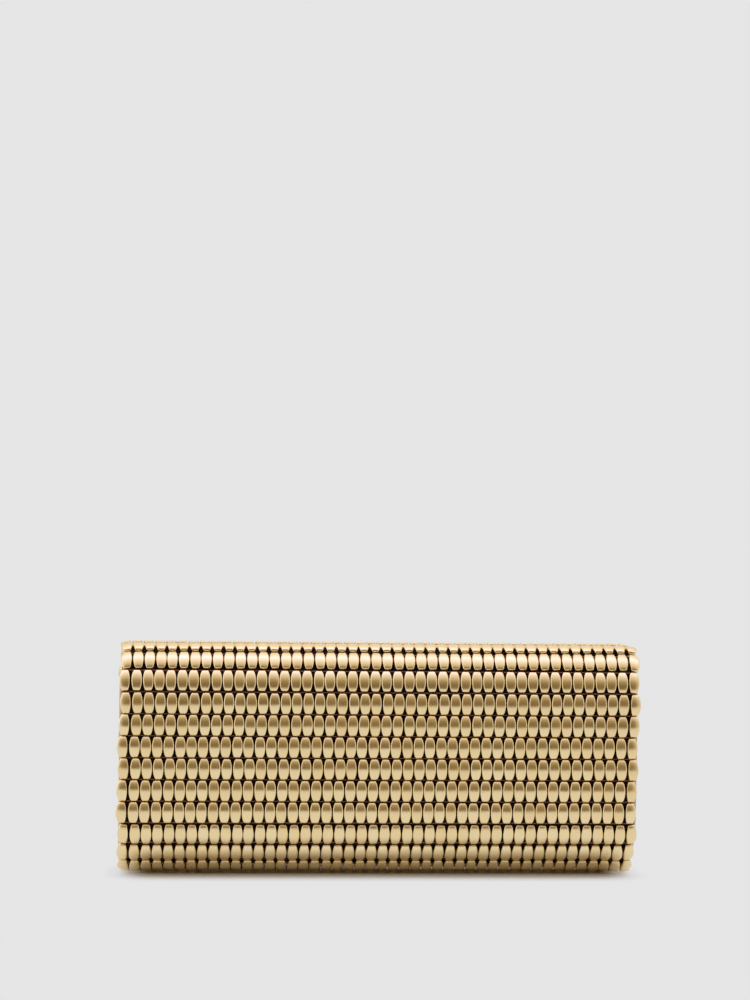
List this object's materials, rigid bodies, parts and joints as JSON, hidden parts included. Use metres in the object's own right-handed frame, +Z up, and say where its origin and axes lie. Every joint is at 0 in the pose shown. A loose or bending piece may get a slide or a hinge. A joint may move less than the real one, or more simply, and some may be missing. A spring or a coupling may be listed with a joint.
{
  "type": "beaded evening clutch bag",
  "caption": "Oblong evening clutch with rounded top and base, covered in rows of long satin gold beads; the bead mesh rolls over the top as a magnetic front flap.",
  "frame": {"origin": "middle of the footprint, on the surface the bag stands on", "axes": "+X to the right along the rows of beads, -Y out of the front that the flap covers, +Z up"},
  "size_m": [0.2518, 0.0598, 0.1133],
  "materials": {
    "beads": "satin brushed pale gold plate",
    "cord": "waxed braided cord, mauve brown",
    "carrier_cloth": "close woven dark brown cloth",
    "board": "pressed fibre board",
    "lining": "twill lining, warm beige, soft sheen",
    "leather": "fine grain leather with a pale gold foil",
    "pocket_leather": "smooth lining leather",
    "magnet": "nickel plated"
  },
  "bodies": {
    "case": {"base_row": "beads", "back_row_4": "beads", "back_row_5": "beads", "back_row_6": "beads", "back_row_7": "beads", "back_row_8": "beads", "back_row_9": "beads", "back_row_10": "beads", "back_row_11": "beads", "back_row_12": "beads", "body_cloth": "carrier_cloth", "body_cords": "cord", "back_board": "board", "base_board": "board", "front_board": "board", "front_facing": "leather", "front_magnets": "magnet", "mouth_binding": "leather", "back_lining": "lining", "base_lining": "lining", "front_lining": "lining", "slip_pocket": "pocket_leather", "gusset_left": "leather", "gusset_right": "leather"},
    "roll_1": {"back_row_3": "beads", "roll_cloth_1": "carrier_cloth", "roll_cord_1": "cord"},
    "roll_2": {"back_row_2": "beads", "roll_cloth_2": "carrier_cloth", "roll_cord_2": "cord"},
    "roll_3": {"back_row_1": "beads", "roll_cloth_3": "carrier_cloth", "roll_cord_3": "cord"},
    "roll_4": {"top_row": "beads", "roll_cloth_4": "carrier_cloth", "roll_cord_4": "cord"},
    "roll_5": {"front_row_1": "beads", "roll_cloth_5": "carrier_cloth", "roll_cord_5": "cord"},
    "roll_6": {"front_row_2": "beads", "roll_cloth_6": "carrier_cloth", "roll_cord_6": "cord"},
    "flap": {"front_row_3": "beads", "front_row_4": "beads", "front_row_5": "beads", "front_row_6": "beads", "front_row_7": "beads", "front_row_8": "beads", "front_row_9": "beads", "front_row_10": "beads", "front_row_11": "beads", "front_row_12": "beads", "flap_cloth": "carrier_cloth", "flap_board": "board", "flap_lining": "lining", "flap_cords": "cord", "flap_magnets": "magnet", "flap_binding": "leather"}
  },
  "joints": [
    {"name": "flap_opening", "type": "hinge", "parent": "case", "child": "roll_1", "pos_m": [0, 0.02432, 0.08921], "axis": [-1, 0, 0], "range_deg": [0, 16.66]},
    {"name": "roll_fold_2", "type": "hinge", "parent": "roll_1", "child": "roll_2", "pos_m": [0, 0.02135, 0.09913], "axis": [-1, 0, 0], "range_deg": [0, 31.79]},
    {"name": "roll_fold_3", "type": "hinge", "parent": "roll_2", "child": "roll_3", "pos_m": [0, 0.01411, 0.10652], "axis": [-1, 0, 0], "range_deg": [0, 31.85]},
    {"name": "roll_fold_4", "type": "hinge", "parent": "roll_3", "child": "roll_4", "pos_m": [0, 0.00425, 0.10967], "axis": [-1, 0, 0], "range_deg": [0, 21.72]},
    {"name": "roll_fold_5", "type": "hinge", "parent": "roll_4", "child": "roll_5", "pos_m": [0, -0.00619, 0.10967], "axis": [-1, 0, 0], "range_deg": [0, 21.72]},
    {"name": "roll_fold_6", "type": "hinge", "parent": "roll_5", "child": "roll_6", "pos_m": [0, -0.01605, 0.10652], "axis": [-1, 0, 0], "range_deg": [0, 31.85]},
    {"name": "flap_fold", "type": "hinge", "parent": "roll_6", "child": "flap", "pos_m": [0, -0.02329, 0.09913], "axis": [-1, 0, 0], "range_deg": [0, 31.85]}
  ]
}
